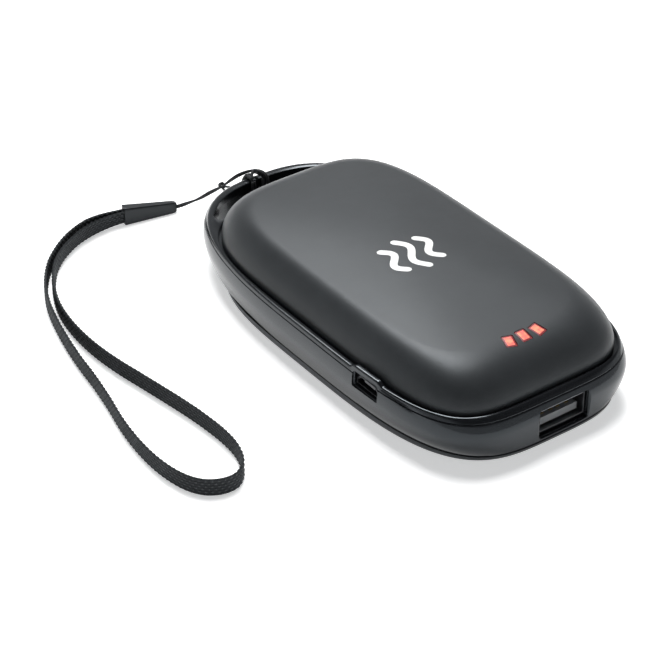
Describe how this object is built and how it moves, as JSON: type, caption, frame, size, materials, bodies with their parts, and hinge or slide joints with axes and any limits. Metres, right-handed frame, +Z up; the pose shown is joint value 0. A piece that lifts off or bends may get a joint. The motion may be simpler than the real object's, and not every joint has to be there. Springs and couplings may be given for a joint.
{
  "type": "rechargeable hand warmer",
  "caption": "Pocket-size domed oval hand warmer with sockets, lit charge windows, a side button and a wrist strap tied through its end slot.",
  "frame": {"origin": "middle of the body's base, on the floor, without the strap", "axes": "+Z up through the dome, +Y towards the strap end, -Y towards the power socket, +X towards the button"},
  "size_m": [0.1054, 0.1334, 0.0235],
  "materials": {
    "soft_touch_black": "soft-touch coating, fine and even",
    "gloss_black": "polished injection moulding",
    "satin_black": "satin moulded surface",
    "signal_red": "translucent, lit from below",
    "socket_steel": "plated sheet steel",
    "socket_plastic": "moulded insulator",
    "contact_brass": "plated spring contacts",
    "switch_plastic": "moulded",
    "board_green": "solder mask",
    "chip_black": "epoxy and ferrite",
    "cell_foil": "laminated pouch foil",
    "heat_plate": "rolled sheet",
    "film_amber": "polyimide film",
    "foam_grey": "closed-cell foam",
    "tape_white": "tape and insulation",
    "lead_red": "insulated wire",
    "lead_black": "insulated wire",
    "strap_cord": "braided cord",
    "strap_webbing": "woven webbing"
  },
  "bodies": {
    "case": {"top_cover": "soft_touch_black", "light_guide": "signal_red", "bezel": "gloss_black", "lower_shell": "gloss_black", "bottom_cover": "satin_black", "switch_body": "switch_plastic", "circuit_board": "board_green", "usb_a_shell": "socket_steel", "usb_a_tongue": "socket_plastic", "usb_a_contacts": "contact_brass", "micro_usb_shell": "socket_steel", "micro_usb_tongue": "socket_plastic", "indicator_lamps": "signal_red", "controller_chips": "chip_black", "inductor": "chip_black", "lower_cell": "cell_foil", "cell_tape": "tape_white", "upper_cell": "cell_foil", "lower_heat_plate": "heat_plate", "lower_heater_film": "film_amber", "lower_foam": "foam_grey", "upper_foam": "foam_grey", "upper_heater_film": "film_amber", "upper_heat_plate": "heat_plate", "temperature_sensor": "chip_black", "red_leads": "lead_red", "black_leads": "lead_black", "heater_leads": "tape_white", "case_screws": "socket_steel", "strap_string": "strap_cord", "strap_hitch": "strap_cord", "strap_ferrule": "satin_black", "strap_webbing": "strap_webbing"},
    "button": {"power_button": "satin_black", "switch_plunger": "switch_plastic"}
  },
  "joints": [
    {"name": "power_press", "type": "slide", "parent": "case", "child": "button", "axis": [-1, 0, 0], "range_m": [0, 0.0004], "stiffness_N_per_m": 800}
  ]
}
